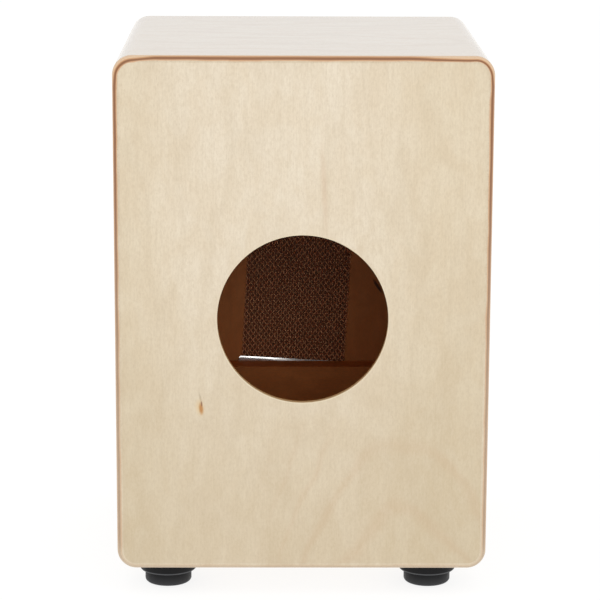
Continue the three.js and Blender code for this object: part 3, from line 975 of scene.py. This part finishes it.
def make_wires(metal):
    """Neighbouring wires are half a turn apart, so that their coils close up into small cells."""
    low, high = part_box("snare_wire_pair_01")
    first = -(PAIR_COUNT - 0.5) * WIRE_SPACING
    off_plate = (low.y + high.y) / 2 - END_PLATE_FRONT
    coils = [tube(coil_path(turn), WIRE_DIAMETER / 2, WIRE_SIDES) for turn in (0, math.pi)]
    for i in range(PAIR_COUNT):
        pair = []
        for j, coil in enumerate(coils):
            x = first + (2 * i + j) * WIRE_SPACING
            pair.append(moved(coil, Matrix.Translation((x, off_plate, 0))))
        wires = new_object(f"snare_coils_{i + 1:02d}", *moved(merged(pair), snare_place()))
        dressed(wires, f"snare_wire_pair_{i + 1:02d}", "wire_steel", metal)


def strip_section(x, drop):
    """The strip's section at x, with eased corners and its top and bottom pulled in by drop."""
    ease = END_PLATE_EASING
    top, bottom = -drop, drop - END_PLATE_HEIGHT
    back = END_PLATE_THICKNESS
    lip = back - END_PLATE_LIP_DEPTH * (1 - drop / END_PLATE_LIP)
    points = eased_corner(ease, bottom + ease, 2)
    points += eased_corner(back - ease, bottom + ease, 3)
    points += [(back, -END_PLATE_LIP)]
    points += eased_corner(lip - ease, top - ease, 0)
    points += eased_corner(ease, top - ease, 1)
    return [(x, y, z) for y, z in points]


def eased_corner(y, z, quarters):
    """A quarter round of the strip's section about (y, z), starting that many quarter turns on."""
    start = quarters * QUARTER
    return arc((y, z), END_PLATE_EASING, start, start + QUARTER, EASING_STEPS)


def make_end_plate(metal):
    """A thin strip with rounded ends, whose rear face leans away from the crossbar at its upper edge."""
    ends = easing(END_PLATE_CORNER, EDGE_STEPS)
    half = END_PLATE_WIDTH / 2
    rings = [strip_section(inset - half, drop) for inset, drop in ends]
    rings += [strip_section(half - inset, drop) for inset, drop in reversed(ends)]
    strip = new_object("snare_strip", *moved(skin(rings), snare_place()))
    drilled(strip, snare_pilots(SNARE_SHANK_RADIUS + DRILL_GAP))
    dressed(strip, "snare_end_plate", "end_plate_steel", metal)


def make_snare_screws(metal):
    profile = pan_head(SNARE_SHANK_RADIUS, SNARE_HEAD_RADIUS, SNARE_HEAD_HEIGHT, SNARE_SCREW_LENGTH)
    for i, x in enumerate(snare_screw_offsets()):
        screw = make_screw(f"snare_fixing_{i + 1}", profile, SNARE_HEAD_HEIGHT, snare_screw_place(x))
        dressed(screw, f"snare_screw_{i + 1}", "zinc_steel", metal)


def make_crossbar():
    low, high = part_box("snare_crossbar")
    bar = eased_block("snare_bar", low, high, STRIP_EASING)
    drilled(bar, snare_pilots(SNARE_SHANK_RADIUS + DRILL_GAP))
    dressed(bar, "snare_crossbar", "batten_wood", strip_wood("crossbar_wood", "X", (0.1, 0.3, 0)))


# ---------- the feet ----------


def foot_profile():
    """Up the outside and down the bore."""
    shelf = FOOT_HEIGHT - FLANGE_HEIGHT
    quarter = (-QUARTER, 0, EDGE_STEPS)
    profile = [(FOOT_WELL_RADIUS, 0)]
    profile += arc((BOSS_RADIUS - BOSS_EDGE, BOSS_EDGE), BOSS_EDGE, *quarter)
    profile += [(BOSS_RADIUS, shelf)]
    profile += arc((FLANGE_RADIUS - FOOT_EDGE, shelf + FOOT_EDGE), FOOT_EDGE, *quarter)
    profile += [(FLANGE_RADIUS, FOOT_HEIGHT), (FOOT_BORE_RADIUS, FOOT_HEIGHT)]
    return profile + [(FOOT_BORE_RADIUS, FOOT_WELL_DEPTH), (FOOT_WELL_RADIUS, FOOT_WELL_DEPTH)]


def washer_profile(low, high, inner, outer):
    """A flat ring's section with its four edges eased."""
    ease = WASHER_EASING
    return [
        (inner + ease, low),
        (outer - ease, low),
        (outer, low + ease),
        (outer, high - ease),
        (outer - ease, high),
        (inner + ease, high),
        (inner, high - ease),
        (inner, low + ease),
    ]


def make_foot(side, black, metal):
    low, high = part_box("foot_" + side)
    middle = (low + high) / 2
    place = Matrix.Translation((middle.x, middle.y, 0))
    rubber_part = turned(foot_profile(), FOOT_STEPS, closed=True)
    foot = new_object("rubber_foot_" + side, *moved(rubber_part, place))
    dressed(foot, "foot_" + side, "black_rubber", black)

    washer_low, washer_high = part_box("foot_washer_" + side)
    outer = (washer_high.x - washer_low.x) / 2
    section = washer_profile(washer_low.z, washer_high.z, FOOT_SHANK_RADIUS + DRILL_GAP, outer)
    washer = new_object("foot_ring_" + side, *moved(turned(section, FOOT_STEPS, closed=True), place))
    dressed(washer, "foot_washer_" + side, "zinc_steel", metal)

    _, screw_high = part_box("foot_screw_" + side)
    length = screw_high.z - washer_low.z
    at_washer = Matrix.Translation((middle.x, middle.y, washer_low.z))
    profile = pan_head(FOOT_SHANK_RADIUS, FOOT_HEAD_RADIUS, FOOT_HEAD_HEIGHT, length)
    upside_down = at_washer @ Matrix.Rotation(math.pi, 4, "X")
    screw = make_screw("foot_fixing_" + side, profile, FOOT_HEAD_HEIGHT, upside_down)
    dressed(screw, "foot_screw_" + side, "zinc_steel", metal)


# ---------- the studio ----------


def make_floor():
    angles = [2 * math.pi * i / FLOOR_SIDES for i in range(FLOOR_SIDES)]
    ring = [(FLOOR_RADIUS * math.cos(a), FLOOR_RADIUS * math.sin(a), -FLOOR_DROP) for a in angles]
    mesh = bpy.data.meshes.new("floor")
    mesh.from_pydata(ring, [], [tuple(range(FLOOR_SIDES))])
    floor = bpy.data.objects.new("floor", mesh)
    bpy.context.scene.collection.objects.link(floor)
    floor.data.materials.append(floor_paint())


def add_light(name, place, aim, size, watts, colour):
    data = bpy.data.lights.new(name, "AREA")
    data.shape = "RECTANGLE"
    data.size, data.size_y = size
    data.energy = watts
    data.color = colour
    light = bpy.data.objects.new(name, data)
    light.location = place
    light.rotation_euler = (Vector(aim) - Vector(place)).to_track_quat("-Z", "Y").to_euler()
    bpy.context.scene.collection.objects.link(light)
    light.visible_camera = False


def make_light():
    world = bpy.data.worlds.new("studio")
    world.use_nodes = True
    sky = world.node_tree.nodes["Background"]
    sky.inputs["Color"].default_value = (1, 1, 1, 1)
    sky.inputs["Strength"].default_value = SKY_STRENGTH
    bpy.context.scene.world = world
    bpy.context.scene.view_settings.view_transform = "Standard"
    add_light("overhead", OVERHEAD_PLACE, OVERHEAD_AIM, OVERHEAD_SIZE, OVERHEAD_WATTS, OVERHEAD_COLOUR)
    add_light("softbox", SOFTBOX_PLACE, SOFTBOX_AIM, SOFTBOX_SIZE, SOFTBOX_WATTS, SOFTBOX_COLOUR)


def add_camera():
    pitch, yaw, roll = CAMERA_PITCH, CAMERA_YAW, CAMERA_ROLL
    level = math.cos(pitch)
    ahead = Vector((math.sin(yaw) * level, -math.cos(yaw) * level, -math.sin(pitch)))
    right = ahead.cross(Vector((0, 0, 1))).normalized()
    above = right.cross(ahead)
    rolled_right = right * math.cos(roll) + above * math.sin(roll)
    rolled_above = above * math.cos(roll) - right * math.sin(roll)
    data = bpy.data.cameras.new("camera")
    data.lens = CAMERA_LENS
    data.sensor_width = CAMERA_SENSOR
    camera = bpy.data.objects.new("camera", data)
    turn = Matrix((rolled_right, rolled_above, -ahead)).transposed().to_4x4()
    camera.matrix_world = Matrix.Translation(CAMERA_PLACE) @ turn
    bpy.context.scene.collection.objects.link(camera)
    bpy.context.scene.camera = camera


def make_all():
    zinc = steel("zinc_screw", "B9B8B4", "9A9894", 0.38, "Z")
    bright = steel("bright_strip", "F4F4F2", "E6E5E2", 0.2, "X", dulling=END_PLATE_DULLING)
    drawn = steel("snare_wire", "FABE8E", "E2A87A", 0.45, "Z", metallic=0.3)
    inside = raw_inside()
    add_camera()
    make_rear_board(veneer_rear(), ply_edge(), hole_ply(), inside)
    make_shell(inside)
    make_plate(plate_outside(), plate_inside())
    make_plate_screws(zinc)
    make_battens()
    make_crossbar()
    make_end_plate(bright)
    make_wires(drawn)
    make_snare_screws(zinc)
    black = rubber()
    for side in FOOT_SIDES:
        make_foot(side, black, zinc)
    make_floor()
    make_light()


make_all()
